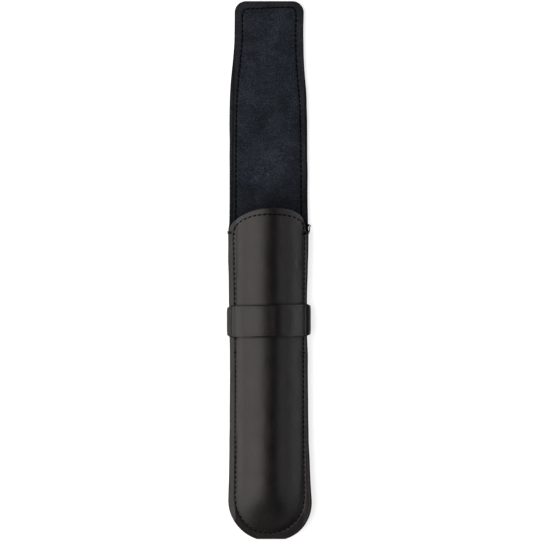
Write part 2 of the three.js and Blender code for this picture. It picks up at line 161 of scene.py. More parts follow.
def round_seam():
    angle = np.linspace(math.pi, 0, 90)
    left, right = seam_x(-1, np.array(SEAM_END_Y)), seam_x(1, np.array(SEAM_END_Y))
    power = 2 / SEAM_POWER
    x = (left + right) / 2 + (right - left) / 2 * np.sign(np.cos(angle)) * np.abs(np.cos(angle)) ** power
    return np.stack([x, SEAM_END_Y - SEAM_DEPTH * np.abs(np.sin(angle)) ** power], 1)


def mouth_seam():
    angle = np.linspace(math.pi * 0.985, math.pi * 0.015, 80)
    power = 2 / np.where(angle > math.pi / 2, 2.1, 2.7)
    x = MOUTH_SEAM_X * np.sign(np.cos(angle)) * np.abs(np.cos(angle)) ** power
    return np.stack([x, MOUTH_SEAM_Y + MOUTH_SEAM_RISE * np.abs(np.sin(angle)) ** power], 1)


def flap_seam_x(hand, y):
    return side_x(hand, y) - hand * hermite(y, FLAP_SEAM_Y, FLAP_SEAM_INSET)


def flap_seam(low, high, hand):
    y = np.linspace(low, high, 70)
    return np.stack([flap_seam_x(hand, y), y], 1)


def flap_seam_round(low):
    """Up the left side from low, round the tip and down the right side."""
    corner, top_left, top_right = 2.6, 130.6, 131.6
    left = flap_seam(low, top_left - corner, -1)
    right = flap_seam(low, top_right - corner, 1)
    turn = np.linspace(0, math.pi / 2, 9)
    inwards, upwards = corner * (1 - np.cos(turn)), corner * np.sin(turn)
    arc_left = np.stack([left[-1, 0] + inwards, left[-1, 1] + upwards], 1)
    arc_right = np.stack([right[-1, 0] - inwards, right[-1, 1] + upwards], 1)
    return np.concatenate([left, arc_left[1:], arc_right[1:][::-1], right[::-1]])


def resample(line, pitch):
    """Points pitch apart along a line, or very nearly, so that they end at its ends."""
    lengths = np.linalg.norm(np.diff(line, axis=0), axis=1)
    s = np.concatenate([[0], np.cumsum(lengths)])
    count = max(2, int(round(s[-1] / pitch)) + 1)
    at = np.linspace(0, s[-1], count)
    return np.stack([np.interp(at, s, line[:, k]) for k in range(line.shape[1])], 1)


def distance(x, y, line):
    """Distance of each point to a line of points."""
    best = np.full(np.shape(x), 1e9)
    for (ax, ay), (bx, by) in zip(line[:-1], line[1:]):
        dx, dy = bx - ax, by - ay
        t = np.clip(((x - ax) * dx + (y - ay) * dy) / max(dx * dx + dy * dy, 1e-12), 0, 1)
        best = np.minimum(best, (x - ax - t * dx) ** 2 + (y - ay - t * dy) ** 2)
    return np.sqrt(best)


def holes_distance(x, y, holes):
    """Distance to the nearest needle hole."""
    best = np.full(np.shape(x), 1e9)
    for hx, hy in holes:
        best = np.minimum(best, (x - hx) ** 2 + (y - hy) ** 2)
    return np.sqrt(best)


def seam_dip(x, y, lines, depth, width, hole):
    """How far stitching pulls a surface down, along its lines and more at the needle holes."""
    dip = 0
    for line in lines:
        holes = resample(line, STITCH_PITCH)
        near = depth * np.exp(-((distance(x, y, line[::3]) / width) ** 2))
        round_hole = hole * np.exp(-((holes_distance(x, y, holes) / 0.42) ** 2))
        dip = np.maximum(dip, near + round_hole)
    return dip


def rounded(d, radius):
    """How far a rounded edge lies below the face, at distance d from the edge."""
    d = np.clip(d, 0, radius)
    return radius - np.sqrt(np.maximum(0, radius**2 - (radius - d) ** 2))


# ---- meshes ------------------------------------------------------------------------------------------

def new_object(name, points, faces, material, attributes=None, flat=()):
    mesh = bpy.data.meshes.new(name)
    mesh.from_pydata(((np.asarray(points).reshape(-1, 3) + CENTRING) * MM).tolist(), [], faces)
    mesh.validate()
    smooth = np.ones(len(mesh.polygons), bool)
    smooth[list(flat)] = False
    mesh.polygons.foreach_set("use_smooth", smooth)
    for key, values in (attributes or {}).items():
        layer = mesh.attributes.new(key, "FLOAT", "POINT")
        layer.data.foreach_set("value", np.asarray(values, np.float32).ravel())
    mesh.materials.append(material)
    obj = bpy.data.objects.new(name, mesh)
    bpy.context.scene.collection.objects.link(obj)
    return obj


def sheet(name, top, bottom, material, attributes=None, flat_ends=False):
    """A closed sheet between two grids of points of the same size."""
    rows, cols = top.shape[:2]
    count = rows * cols
    index = np.arange(count).reshape(rows, cols)
    a, b, c, d = index[:-1, :-1], index[:-1, 1:], index[1:, 1:], index[1:, :-1]
    upper = np.stack([a, b, c, d], -1).reshape(-1, 4)
    faces = []

    def close(rim, sign):
        for one, other in zip(rim[:-1], rim[1:]):
            quad = [one, other, other + count, one + count]
            faces.append([int(v) for v in quad[::sign]])

    # the ends come first, because at a sharp edge a later face's normal wins
    close(index[0], -1)
    close(index[-1], 1)
    flat = range(len(faces)) if flat_ends else ()
    close(index[:, 0], 1)
    close(index[:, -1], -1)
    faces += upper.tolist() + (upper[:, ::-1] + count).tolist()
    both = {key: np.concatenate([v.ravel(), v.ravel()]) for key, v in (attributes or {}).items()}
    points = np.concatenate([top.reshape(-1, 3), bottom.reshape(-1, 3)])
    return new_object(name, points, faces, material, both, flat)


def tubes(name, centres, radii, material, squash=1.0, twist=0.0):
    """Closed tubes along many lines of points at once; centres is (tubes, rings, 3), radii (rings,)."""
    sides = 8
    centres = np.asarray(centres, float)
    count, rings = centres.shape[:2]
    along = np.gradient(centres, axis=1)
    along /= np.linalg.norm(along, axis=2, keepdims=True) + 1e-12
    side = np.cross(along, np.zeros_like(centres) + np.array([0, 0, 1.0]))
    side /= np.linalg.norm(side, axis=2, keepdims=True) + 1e-12
    up = np.cross(side, along)
    phi = np.arange(sides) / sides * 2 * math.pi
    s = np.linspace(0, 1, rings)
    ply = 1 + 0.13 * np.cos(2 * phi[None, :] + 2 * math.pi * twist * s[:, None]) * (twist > 0)
    r = (np.asarray(radii)[:, None] * ply)[None, :, :, None]
    points = (centres[:, :, None] + r * np.cos(phi)[None, None, :, None] * side[:, :, None]
              + squash * r * np.sin(phi)[None, None, :, None] * up[:, :, None])
    faces = []
    for tube in range(count):
        base = tube * rings * sides
        for k in range(rings - 1):
            for j in range(sides):
                a, b = base + k * sides + j, base + k * sides + (j + 1) % sides
                faces.append([a, b, b + sides, a + sides])
        faces.append([base + j for j in range(sides)][::-1])
        faces.append([base + (rings - 1) * sides + j for j in range(sides)])
    return new_object(name, points, faces, material)


def stitch_row(name, line, surface, keep=None, face=1, rise=0.2, lean=0.12, radius=0.27, length=0.9):
    """One stitch between each two needle holes of a line; surface(x, y) is the height they lie on.

    length is a part of the pitch. face is 1 for stitches seen from above and -1 from below.
    """
    holes = resample(line, STITCH_PITCH)
    start, end = holes[:-1], holes[1:]
    if keep is not None:
        chosen = keep((start + end) / 2)
        start, end = start[chosen], end[chosen]
    centre, run = (start + end) / 2, end - start
    lean = lean + random.normal(0, 0.035, len(run))
    turn = np.stack([run[:, 0] * np.cos(lean) - run[:, 1] * np.sin(lean),
                     run[:, 0] * np.sin(lean) + run[:, 1] * np.cos(lean)], 1)
    s = np.array([-0.5, -0.44, -0.34, -0.2, 0, 0.2, 0.34, 0.44, 0.5])
    # pulled in tighter round the end, and uneven
    drawn = np.where(centre[:, 1] < SEAM_END_Y - 5, 0.75, 1) * random.uniform(0.82, 1.06, len(run))
    reach = length * drawn[:, None] * s[None, :]
    flat = centre[:, None] + turn[:, None] * reach[:, :, None]
    x, y = flat[..., 0], flat[..., 1]
    z = surface(centre[:, 0], centre[:, 1])[:, None]
    slope = (surface(end[:, 0], end[:, 1]) - surface(start[:, 0], start[:, 1]))[:, None]
    z = z + slope * reach
    lift = rise * (1 - 3.2 * (np.abs(s) * 2) ** 4) + 0 * x
    lift = lift + random.normal(0, 0.02, (len(run), 1))
    points = np.stack([x, y, z + face * lift], -1)
    radii = radius * np.array([0.55, 0.85, 1, 1.04, 1.06, 1.04, 1, 0.85, 0.55])
    return tubes(name, points, radii, THREAD, squash=0.8, twist=1.1)


# ---- materials ---------------------------------------------------------------------------------------

class Nodes:
    """A short way to write a material's node tree."""

    def __init__(self, name):
        self.material = bpy.data.materials.new(name)
        self.material.use_nodes = True
        self.tree = self.material.node_tree
        self.shader = self.tree.nodes["Principled BSDF"]

    def add(self, kind, inputs=None, **settings):
        node = self.tree.nodes.new("ShaderNode" + kind)
        for key, value in settings.items():
            setattr(node, key, value)
        for key, value in (inputs or {}).items():
            if isinstance(value, bpy.types.NodeSocket):
                self.tree.links.new(value, node.inputs[key])
            else:
                node.inputs[key].default_value = value
        return node

    def noise(self, vector, scale, detail=2.0, roughness=0.5, distortion=0.0):
        return self.add("TexNoise", {"Vector": vector, "Scale": scale, "Detail": detail,
                                     "Roughness": roughness, "Distortion": distortion}).outputs["Fac"]

    def ramp(self, value, low, high, out_low=0.0, out_high=1.0):
        node = self.add("MapRange", {"Value": value, "From Min": low, "From Max": high,
                                     "To Min": out_low, "To Max": out_high})
        return node.outputs["Result"]

    def math(self, operation, a, b=0.0):
        node = self.add("Math", {0: a, 1: b}, operation=operation)
        return node.outputs[0]

    def mix(self, factor, a, b):
        node = self.tree.nodes.new("ShaderNodeMix")
        node.data_type = "RGBA"
        for key, value in ((0, factor), (6, a), (7, b)):
            if isinstance(value, bpy.types.NodeSocket):
                self.tree.links.new(value, node.inputs[key])
            else:
                node.inputs[key].default_value = value
        return node.outputs[2]

    def set(self, **inputs):
        for key, value in inputs.items():
            socket = self.shader.inputs[key.replace("_", " ")]
            if isinstance(value, bpy.types.NodeSocket):
                self.tree.links.new(value, socket)
            else:
                socket.default_value = value


def rgb(r, g, b):
    return (r, g, b, 1.0)


def leather(name, base, worn, roughness):
    n = Nodes(name)
    place = n.add("TexCoord").outputs["Object"]
    broad = n.noise(place, 38, 3, 0.55)
    fine = n.noise(place, 700, 4, 0.6)
    cells = n.add("TexVoronoi", {"Vector": place, "Scale": 1150.0, "Randomness": 1.0},
                  feature="DISTANCE_TO_EDGE")
    creases = n.ramp(cells.outputs["Distance"], 0.0, 0.16)
    edge = n.add("Attribute", attribute_name="edge").outputs["Fac"]
    colour = n.mix(n.ramp(broad, 0.35, 0.7), base, worn)
    low = rgb(*[v * 0.72 for v in base[:3]])
    colour = n.mix(n.ramp(n.math("MULTIPLY", fine, creases), 0.2, 0.6), low, colour)
    colour = n.mix(n.math("MULTIPLY", edge, 0.9), colour, rgb(0.0016, 0.0015, 0.0015))
    rough = n.ramp(n.noise(place, 120, 3, 0.6), 0.3, 0.7, roughness - 0.045, roughness + 0.06)
    rough = n.math("ADD", rough, n.math("MULTIPLY", edge, 0.12))
    height = n.math("ADD", n.math("MULTIPLY", creases, 0.25), n.math("MULTIPLY", fine, 0.7))
    bump = n.add("Bump", {"Strength": 0.35, "Distance": 0.00012, "Height": height})
    soft = n.add("Bump", {"Strength": 0.35, "Distance": 0.0005, "Height": n.noise(place, 150, 3, 0.5),
                          "Normal": bump.outputs["Normal"]})
    n.set(Base_Color=colour, Roughness=rough, Normal=soft.outputs["Normal"], Specular_IOR_Level=0.5)
    return n.material


def suede():
    n = Nodes("suede")
    place = n.add("TexCoord").outputs["Object"]
    cloud = n.noise(place, 110, 4, 0.6, 0.3)
    patch = n.noise(place, 420, 3, 0.7)
    speck = n.noise(place, 1600, 2, 0.8)
    fleck_place = n.add("Mapping", {"Vector": place, "Scale": (900.0, 420.0, 900.0)}).outputs["Vector"]
    fleck = n.noise(fleck_place, 1.0, 2, 0.8)
    nap_place = n.add("Mapping", {"Vector": place, "Scale": (2600.0, 1500.0, 2600.0)}).outputs["Vector"]
    nap = n.noise(nap_place, 1.0, 3, 0.6)
    edge = n.add("Attribute", attribute_name="edge").outputs["Fac"]
    margin = n.add("Attribute", attribute_name="margin").outputs["Fac"]
    tone_and_painted_light = n.add("Attribute", attribute_name="tone_and_painted_light").outputs["Fac"]
    mottle = n.math("ADD", n.math("MULTIPLY", cloud, 0.22), n.math("MULTIPLY", patch, 0.16))
    mottle = n.math("ADD", mottle, n.math("MULTIPLY", speck, 0.62))
    colour = n.mix(n.ramp(mottle, 0.43, 0.62), rgb(0.0034, 0.0060, 0.0096), rgb(0.045, 0.058, 0.077))
    colour = n.mix(n.ramp(fleck, 0.64, 0.72, 0.0, 0.5), colour, rgb(0.080, 0.096, 0.114))
    band_mottle = n.ramp(n.noise(place, 260, 4, 0.7), 0.35, 0.65)
    band = n.mix(band_mottle, rgb(0.016, 0.0165, 0.0185), rgb(0.037, 0.0385, 0.0395))
    colour = n.mix(n.math("MULTIPLY", margin, 0.6), colour, band)
    # the colour is scaled by a per-point attribute that carries random tone, a painted sheen in the middle of
    # the flap and painted shade towards the mouth
    colour = n.add("VectorMath", {0: colour, "Scale": tone_and_painted_light}, operation="SCALE").outputs[0]
    colour = n.mix(n.math("MULTIPLY", edge, 0.85), colour, rgb(0.002, 0.002, 0.0022))
    height = n.math("ADD", n.math("MULTIPLY", nap, 0.6), speck)
    bump = n.add("Bump", {"Strength": 0.8, "Distance": 0.0003, "Height": height})
    n.set(Base_Color=colour, Roughness=n.ramp(speck, 0.3, 0.7, 0.86, 0.98), Normal=bump.outputs["Normal"],
          Specular_IOR_Level=0.18, Sheen_Weight=0.12, Sheen_Roughness=0.6)
    n.shader.inputs["Sheen Tint"].default_value = rgb(0.55, 0.7, 0.9)
    return n.material


def waxed_thread():
    n = Nodes("waxed_thread")
    place = n.add("TexCoord").outputs["Object"]
    fibre = n.noise(place, 2600, 3, 0.6)
    colour = n.mix(n.ramp(fibre, 0.3, 0.7), rgb(0.0003, 0.0003, 0.0004), rgb(0.0013, 0.0013, 0.0015))
    bump = n.add("Bump", {"Strength": 0.5, "Distance": 0.00008, "Height": fibre})
    n.set(Base_Color=colour, Roughness=n.ramp(fibre, 0.3, 0.7, 0.62, 0.8), Normal=bump.outputs["Normal"],
          Specular_IOR_Level=0.08)
    return n.material


FRONT = leather("front_leather", rgb(0.0088, 0.0079, 0.0075), rgb(0.0125, 0.0112, 0.0106), 0.40)
BACK = leather("back_leather", rgb(0.0090, 0.0082, 0.0078), rgb(0.0130, 0.0118, 0.0112), 0.42)
STRAP = leather("strap_leather", rgb(0.0088, 0.0080, 0.0077), rgb(0.0128, 0.0116, 0.0111), 0.39)
SUEDE = suede()
THREAD = waxed_thread()

# ---- moulded front -----------------------------------------------------------------------------------

SIDE_SEAMS = [straight_seam(hand, 17.6, SEAM_END_Y, 60) for hand in (-1, 1)]
ROUND_SEAM = round_seam()
POCKET_SEAM = np.concatenate([SIDE_SEAMS[0], ROUND_SEAM[1:-1], SIDE_SEAMS[1][::-1]])
MOUTH_SEAM = mouth_seam()


def steepness(x, y):
    step = 0.05
    slope_x = (bulge(x + step, y) - bulge(x - step, y)) / (2 * step)
    slope_y = (bulge(x, y + step) - bulge(x, y - step)) / (2 * step)
    return np.minimum(1.5, np.sqrt(1 + slope_x**2 + slope_y**2))


def front_face(x, y):
    """Height of the moulded front's outer face, without seams and edges."""
    crease = 0.16 * ripple(x, y * 0.55, 7, 21) * np.clip(bulge(x, y) / 4, 0.15, 1)
    dent = 0.35 * np.exp(-(((x - 14.6) / 0.9) ** 2 + ((y - 3.2) / 1.5) ** 2))
    slope = np.where(x < 0, 0.3, -0.1) * np.clip(np.abs(x) - 17.0, 0, None)  # both margins lean to the left
    return FRONT_BASE + bulge(x, y) + 2.0 * steepness(x, y) + crease * 0.6 - dent - slope


def front_grid(columns, rows, inset=0.0):
    """x and y of a grid over the front panel, crowded towards its edges and the round end."""
    turn = np.linspace(math.acos((HALF_LENGTH + ROUND_Y) / ROUND_DEPTH), math.pi / 2, rows // 4)
    low = ROUND_Y - ROUND_DEPTH * np.cos(turn)
    arch = 6.0
    straight = np.linspace(ROUND_Y, arch, rows // 2 + 1)[1:]
    across = (1 + np.sin((np.linspace(0, 1, columns) - 0.5) * math.pi)) / 2
    grid = []
    for y in np.concatenate([low, straight]):
        left, right = edge_x(-1, y) + inset, edge_x(1, y) - inset
        grid.append(np.stack([left + (right - left) * across, np.full(columns, y)], 1))
    bends = 1 - (1 - np.linspace(0, 1, rows // 4 + 1)[1:]) ** 1.35
    for bend in bends:
        edge_y = arch + (MOUTH_CORNER_Y - arch) * bend
        x = edge_x(-1, edge_y) + (edge_x(1, edge_y) - edge_x(-1, edge_y)) * across
        grid.append(np.stack([x, arch + (mouth_y(x) - arch) * bend], 1))
    return np.array(grid)


def front_outline(grid):
    return np.concatenate([grid[0], grid[1:, -1], grid[-1, ::-1], grid[:-1, 0][::-1], grid[0, :1]])


def add_front():
    grid = front_grid(84, 320)
    x, y = grid[..., 0], grid[..., 1]
    rim = distance(x, y, front_outline(grid)[::2])
    dip = seam_dip(x, y, [POCKET_SEAM, MOUTH_SEAM], depth=0.2, width=0.3, hole=0.14)
    # a faint creaser's line runs just inside the cut edge
    crease_line = 0.03 * np.exp(-(((rim - 1.35) / 0.28) ** 2))
    beside_strap = (np.abs(y - STRAP_Y - STRAP_LEAN * x) - STRAP_HALF - 0.15) / 0.45
    strap_dent_and_shadow = np.exp(-(beside_strap**2)) * (bulge(x, y) > 0.2)  # the strap presses a groove in at each of its edges, and the same mask paints a shadow there
    top = front_face(x, y) - dip - crease_line - rounded(rim, 0.5) - 0.45 * strap_dent_and_shadow
    bottom = FRONT_BASE + bulge(x, y) + 0.8 * steepness(x, y) + rounded(rim, 0.35)
    edge = np.clip(1 - rim / 0.42, 0, 1) ** 0.8 + 0.2 * np.clip(dip / 0.5, 0, 1)
    # painted shadow: the front is darkened along each edge of the strap, where the strap casts its shadow
    edge = edge + 0.8 * strap_dent_and_shadow
    outer = sheet("front_outer", np.stack([x, y, top], -1), np.stack([x, y, bottom], -1), FRONT,
                  {"edge": np.clip(edge, 0, 1)})
    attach(outer, "pocket")
    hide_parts("front_panel_leather")

    grid = front_grid(48, 120, 0.05)
    x, y = grid[..., 0], grid[..., 1]
    rim = distance(x, y, front_outline(grid))
    steep = steepness(x, y)
    nap = 0.03 * ripple(x, y, 2.2, 8)
    top = FRONT_BASE + bulge(x, y) + 0.7 * steep - rounded(rim, 0.25)
    bottom = FRONT_BASE + bulge(x, y) + rounded(rim, 0.25) + np.abs(nap)
    # painted shade: the lining inside the pocket is darkened with a uniform 0.6 tone
    lining = sheet("front_lining", np.stack([x, y, top], -1), np.stack([x, y, bottom], -1), SUEDE,
                   {"edge": np.clip(1 - rim / 0.3, 0, 1), "margin": 0 * rim, "tone_and_painted_light": 0 * rim + 0.6})
    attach(lining, "pocket")
    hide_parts("front_panel_lining")


def on_front(x, y):
    return front_face(x, y) - 0.36


# each row's thread radius, and its stitches' length as a part of the pitch
FRONT_STITCHES = {"left": (0.26, 0.84), "right": (0.25, 0.88), "bottom": (0.30, 0.78), "mouth": (0.36, 0.76)}


def add_front_stitches():
    rows = {
        "left": (straight_seam(-1, 17.0, SIDE_ROW_END), "side_seam_thread_left"),
        "right": (straight_seam(1, 17.0, SIDE_ROW_END), "side_seam_thread_right"),
        "bottom": (np.concatenate([straight_seam(-1, BOTTOM_ROW_START, SEAM_END_Y), ROUND_SEAM[1:-1],
                                   straight_seam(1, BOTTOM_ROW_START, SEAM_END_Y)[::-1]]),
                   "bottom_seam_thread"),
        "mouth": (MOUTH_SEAM, "mouth_seam_thread"),
    }
    for word, (line, node) in rows.items():
        radius, length = FRONT_STITCHES[word]
        row = stitch_row(f"{word}_stitches", line, on_front, radius=radius, length=length)
        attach(row, "pocket")
        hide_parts(node)


# ---- back panel and flap -----------------------------------------------------------------------------

FLAP_SEAM = flap_seam_round(20.5)
BACK_SEAM = np.concatenate([straight_seam(-1, 19.0, SEAM_END_Y, 60), ROUND_SEAM[1:-1],
                            straight_seam(1, 19.0, SEAM_END_Y, 60)[::-1]])
LINKS = [f"flap_link_{k}" for k in range(1, FOLD_COUNT)]
STRIP_ENDS = [-HALF_LENGTH] + [FOLD_Y + FOLD_PITCH * (k + 0.5) for k in range(FOLD_COUNT - 1)] + [HALF_LENGTH]


def strip_nodes(pocket, part, tongue):
    """The CAD nodes that each strip stands for, where a link's node is named part, or part and a side."""
    sides = [""] if part in ("leather", "lining") else ["_left", "_right"]
    rows = [pocket] + [[f"{link}_{part}{side}" for side in sides] for link in LINKS]
    rows[-1] = rows[-1] + [tongue]
    return rows


LEATHER_NODES = strip_nodes(["back_panel_leather"], "leather", "tongue_leather")
LINING_NODES = strip_nodes(["back_panel_lining"], "lining", "tongue_lining")
FOLD_THREADS = ["fold_seam_thread_left", "fold_seam_thread_right"]
FACE_THREAD_NODES = strip_nodes(FOLD_THREADS, "thread", "tongue_thread")
BACK_THREAD_NODES = strip_nodes(["back_seam_thread"], "back_thread", "tongue_back_thread")


def bend(piece, k):
    """Bakes the piece's transform into its mesh; strip k is not bent."""
    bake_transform(piece)


def panel_rows(low, high):
    """Heights of a strip's rows, crowded at the case's two ends."""
    rows = [np.linspace(low, high, int((high - low) / 0.62) + 2)]
    if low < ROUND_Y:
        turn = np.linspace(math.acos((HALF_LENGTH + ROUND_Y) / ROUND_DEPTH), math.pi / 2, 70)
        rows = [ROUND_Y - ROUND_DEPTH * np.cos(turn), rows[0][rows[0] > ROUND_Y + 0.3]]
    if high > HALF_LENGTH - 1:
        start = HALF_LENGTH - TIP_RADIUS
        turn = np.linspace(0, math.pi / 2, 34)
        rows = [rows[0][rows[0] < start - 0.2], start + TIP_RADIUS * np.sin(turn)]
    return np.concatenate(rows)


def panel_grid(low, high, columns, notch=False):
    across = (1 + np.sin((np.linspace(0, 1, columns) - 0.5) * math.pi)) / 2
    y = panel_rows(low, high)
    left, right = edge_x(-1, y), edge_x(1, y)
    if notch:  # the strap's ends pass here, between the back and the front
        inside = 6.0 * (np.abs(y - STRAP_Y) < STRAP_HALF + 1.0)
        left, right = left + inside, right - inside
    x = left[:, None] + (right - left)[:, None] * across[None, :]
    return x, np.broadcast_to(y[:, None], x.shape).copy()


def panel_outline():
    x, y = panel_grid(-HALF_LENGTH, HALF_LENGTH, 30)
    return np.concatenate([np.stack([x[:, -1], y[:, -1]], 1), np.stack([x[-1, ::-1], y[-1]], 1),
                           np.stack([x[::-1, 0], y[::-1, 0]], 1), np.stack([x[0], y[0]], 1)])


OUTLINE = panel_outline()


def lining_face(x, y):
    free = np.clip((y - 30) / 12, 0, 1)
    return LINING_TOP + free * (0.10 * ripple(x, y * 0.7, 9, 31) + 0.05 * ripple(x, y, 3.2, 33)) - 0.12 * free


def suede_tone_and_painted_light(x, y):
    """Painted light on the suede, with some random tone: paler in the middle of the flap, a painted sheen,
    and darker towards the mouth and its right side, painted shade.
    """
    pale = 0.5 * np.exp(-(((x - 0.35 * (y - 53)) / 7) ** 2 + ((y - 53) / 8) ** 2))
    dark = 0.58 * np.clip((48 - y + 0.3 * x) / 17, 0, 1)
    return np.clip(1 + pale - dark + 0.16 * ripple(x, y, 11, 51), 0.3, 2)


def add_strip(k):
    low, high = STRIP_ENDS[k], STRIP_ENDS[k + 1]
    x, y = panel_grid(low, high, 72)
    rim = distance(x, y, OUTLINE[::2])
    back_dip = seam_dip(x, y, [BACK_SEAM, FLAP_SEAM], depth=0.22, width=0.5, hole=0.18)
    bottom = rounded(rim, 0.45) + back_dip * 0.9
    top = BACK_TOP - rounded(rim, 0.35)
    edge = np.clip(np.clip(1 - rim / 0.42, 0, 1) ** 0.8 + 0.5 * np.clip(back_dip / 0.4, 0, 1), 0, 1)
    outer = sheet(f"back_leather_{k + 1}", np.stack([x, y, top], -1), np.stack([x, y, bottom], -1), BACK,
                  {"edge": edge}, flat_ends=True)
    bend(outer, k)
    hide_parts(*LEATHER_NODES[k])

    x, y = panel_grid(low, high, 84, notch=k == 0)
    rim = distance(x, y, OUTLINE[::2])
    dip = seam_dip(x, y, [FLAP_SEAM], depth=0.24, width=0.5, hole=0.2)
    seam = distance(x, y, FLAP_SEAM[::2])
    margin = np.clip((3.4 - rim) / 1.0, 0, 1) * (y > 30)
    top = lining_face(x, y) - dip - rounded(rim, 0.3)
    top = np.maximum(top, LINING_LOW + 0.2)
    bottom = LINING_LOW + rounded(rim, 0.25)
    edge = np.clip(1.1 - rim / 0.6, 0, 1) ** 0.8 + 0.25 * np.exp(-((seam / 0.4) ** 2))
    inner = sheet(f"lining_{k + 1}", np.stack([x, y, top], -1), np.stack([x, y, bottom], -1), SUEDE,
                  {"edge": np.clip(edge, 0, 1), "margin": margin, "tone_and_painted_light": suede_tone_and_painted_light(x, y)}, flat_ends=True)
    bend(inner, k)
    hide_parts(*LINING_NODES[k])


def add_strip_stitches(k):
    low, high = STRIP_ENDS[k], STRIP_ENDS[k + 1]

    def inside(p):
        return (p[:, 1] >= low) & (p[:, 1] < high)

    def seen(p):
        return inside(p) & (p[:, 1] > 21.5)

    face = stitch_row(f"flap_stitches_{k + 1}", FLAP_SEAM, lambda x, y: lining_face(x, y) - 0.24,
                      keep=seen, rise=0.17, radius=0.32)
    lines = [FLAP_SEAM, BACK_SEAM] if k == 0 else [FLAP_SEAM]
    made = [stitch_row(f"back_stitches_{k + 1}_{i}", line, lambda x, y: 0.36 + 0 * x,
                       keep=inside, face=-1, rise=0.12, lean=-0.12) for i, line in enumerate(lines)]
    back = made[0]
    if len(made) > 1:
        chosen = {"selected_editable_objects": made, "selected_objects": made}
        with bpy.context.temp_override(active_object=back, **chosen):
            bpy.ops.object.join()
    back.name = f"back_stitches_{k + 1}"
    for piece, nodes in ((face, FACE_THREAD_NODES[k]), (back, BACK_THREAD_NODES[k])):
        bend(piece, k)
        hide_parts(*nodes)


# ---- keeper strap ------------------------------------------------------------------------------------

def strap_path():
    """The strap's middle line in X and Z, from its left tab over the front to its right tab."""
    left, right = float(edge_x(-1, STRAP_Y)), float(edge_x(1, STRAP_Y))
    x = np.linspace(left - 0.1, right + 0.1, 260)
    face = front_face(x, np.full_like(x, STRAP_Y))
    spacing = x[1] - x[0]
    reach = np.arange(-30, 31) * spacing
    kernel = np.exp(-((reach / 1.15) ** 2))
    slack = front_face(x - STRAP_SLIP * np.exp(-((x / 10) ** 2)), np.full_like(x, STRAP_Y))
    padded = np.pad(np.maximum(face, slack), 30, mode="edge")
    smooth = np.convolve(padded, kernel / kernel.sum(), mode="valid")
    taut = np.maximum(face, smooth) + 0.2
    slope = np.gradient(taut, x)
    half = STRAP_THICK / 2
    over = np.stack([x - half * slope / np.hypot(1, slope), taut + half / np.hypot(1, slope)], 1)

    def side(hand, edge):
        top, low = taut[0 if hand < 0 else -1] + half, 1.65
        middle, radius = (top + low) / 2, (top - low) / 2
        out = 0.55 if hand < 0 else 1.0
        turn = np.linspace(math.pi / 2, -math.pi / 2, 26)
        round_side = np.stack([edge + hand * (out * 0.35 + (radius * 0.36 + out * 0.35) * np.cos(turn)),
                               middle + radius * np.sin(turn)], 1)
        tab = np.stack([edge - hand * np.linspace(0.6, 5.4, 10), np.full(10, low)], 1)
        return np.concatenate([round_side, tab])

    return np.concatenate([side(-1, left)[::-1], over[2:-2], side(1, right)])


def add_strap():
    path = resample(strap_path(), 0.28)
    tangent = np.gradient(path, axis=0)
    tangent /= np.linalg.norm(tangent, axis=1, keepdims=True)
    normal = np.stack([-tangent[:, 1], tangent[:, 0]], 1)
    s = np.linspace(0, 1, len(path))
    # skived thin where the ends go into the seam
    skive = np.interp(np.minimum(s, 1 - s) * len(path) * 0.28, [0, 5.6, 8.4], [0.5, 0.5, STRAP_THICK])
    v = (1 + np.sin((np.linspace(0, 1, 56) - 0.5) * math.pi)) / 2
    v = (v * 2 - 1) * STRAP_HALF
    rim = STRAP_HALF - np.abs(v)
    crease = 0.16 * np.exp(-(((rim - 1.5) / 0.33) ** 2))
    crown = -0.2 * (v / STRAP_HALF) ** 6
    ridge = 0.25 * np.exp(-(((path[:, 0] - STRAP_TURN_X) / 0.38) ** 2))
    ridge = ridge - 0.13 * np.exp(-(((path[:, 0] + STRAP_TURN_X) / 0.3) ** 2))
    ridge = ridge * (path[:, 1] > MARGIN_TOP)
    rounding = 1 - 0.1 * np.clip((np.abs(path[:, 0]) - 18.6) / 2.2, 0, 1) ** 1.5
    wander = 0.10 * ripple(path[:, 0][:, None] + 0 * v, 0 * path[:, 0][:, None] + v, 6, 41)
    outer_lift = skive[:, None] / 2 - rounded(rim, 0.85)[None, :] * skive[:, None] / STRAP_THICK
    outer_lift = outer_lift - (crease - crown)[None, :] * (skive[:, None] / STRAP_THICK) + 0.35 * wander
    outer_lift = outer_lift + ridge[:, None]
    inner_lift = -skive[:, None] / 2 + rounded(rim, 0.3)[None, :] * skive[:, None] / STRAP_THICK
    bowed = 0.12 * ripple(path[:, 0], 0 * path[:, 0], 8, 43)
    y = STRAP_Y + v[None, :] * rounding[:, None] + STRAP_LEAN * path[:, 0][:, None]
    y = y + bowed[:, None] * np.sign(v)[None, :] * 0.5

    def face(lift):
        return np.stack([path[:, 0][:, None] + normal[:, 0][:, None] * lift, y,
                         path[:, 1][:, None] + normal[:, 1][:, None] * lift], -1)

    # the strap's dark rim is edge dye, made wider than elsewhere so that it also paints the shadow in the gap
    # along its edges
    edge = np.clip(1.5 - rim / 0.6, 0, 1)[None, :] + 0.35 * (crease / 0.16)[None, :] + 0 * y
    # painted shade: darker in the crease where the strap turns down on the left
    edge = edge + 0.6 * np.clip(-ridge / 0.13, 0, 1)[:, None]
    # rows run along the strap, so the grid is turned to face outwards
    strap = sheet("strap", face(outer_lift)[:, ::-1], face(inner_lift)[:, ::-1], STRAP,
                  {"edge": np.clip(edge, 0, 1)[:, ::-1]})
    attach(strap, "pocket")
    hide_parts("keeper_strap")


# ---- knots and tacks ---------------------------------------------------------------------------------

